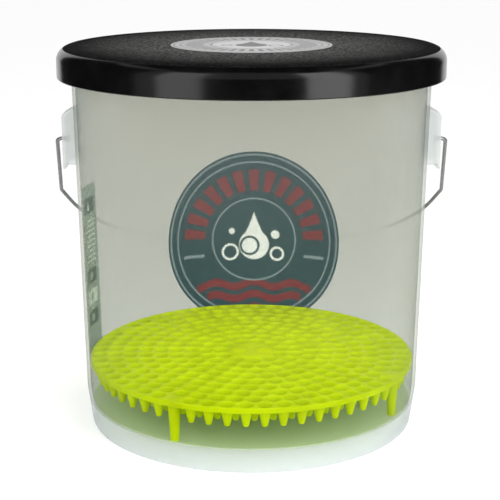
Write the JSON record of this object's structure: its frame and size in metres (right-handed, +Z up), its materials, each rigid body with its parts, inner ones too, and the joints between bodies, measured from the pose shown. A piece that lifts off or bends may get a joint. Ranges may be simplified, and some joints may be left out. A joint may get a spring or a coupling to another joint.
{
  "type": "wash bucket",
  "caption": "Translucent round wash bucket with a thick black seat lid, a swinging wire bail with a hand grip, and a lift-out green dirt trap.",
  "frame": {"origin": "centre of the foot ring on the ground", "axes": "+Z up along the bucket's axis, the bail's pivots lie along X, and the front, the side away from the hanging bail, is -Y"},
  "size_m": [0.3366, 0.317, 0.311],
  "materials": {
    "milky_plastic": "milky translucent, satin",
    "rear_print": "printed film",
    "side_print": "printed film",
    "wire_steel": "zinc plated wire",
    "grip_plastic": "satin",
    "lid_plastic": "gloss skirt, grained top",
    "gasket_rubber": "matte",
    "badge_print": "printed film",
    "trap_plastic": "satin gloss"
  },
  "bodies": {
    "bucket": {"bucket_wall": "milky_plastic", "bucket_floor": "milky_plastic", "ear_left": "milky_plastic", "ear_right": "milky_plastic", "rear_label": "rear_print", "side_label": "side_print"},
    "bail": {"bail_wire": "wire_steel"},
    "grip": {"hand_grip": "grip_plastic"},
    "lid": {"lid_shell": "lid_plastic", "lid_plug": "lid_plastic", "lid_gasket": "gasket_rubber", "lid_badge": "badge_print"},
    "trap": {"trap_plate": "trap_plastic", "trap_hub": "trap_plastic", "trap_leg_front": "trap_plastic", "trap_leg_right": "trap_plastic", "trap_leg_back": "trap_plastic", "trap_leg_left": "trap_plastic"}
  },
  "joints": [
    {"name": "bail_swing", "type": "hinge", "parent": "bucket", "child": "bail", "pos_m": [0, 0, 0.235], "axis": [1, 0, 0], "range_deg": [0, 258]},
    {"name": "grip_spin", "type": "hinge", "parent": "bail", "child": "grip", "pos_m": [0, 0.15154, 0.11228], "axis": [1, 0, 0], "continuous": true},
    {"name": "lid_lift", "type": "slide", "parent": "bucket", "child": "lid", "axis": [0, 0, 1], "range_m": [0, 0.3]},
    {"name": "trap_lift", "type": "slide", "parent": "bucket", "child": "trap", "axis": [0, 0, 1], "range_m": [0, 0.245]}
  ]
}
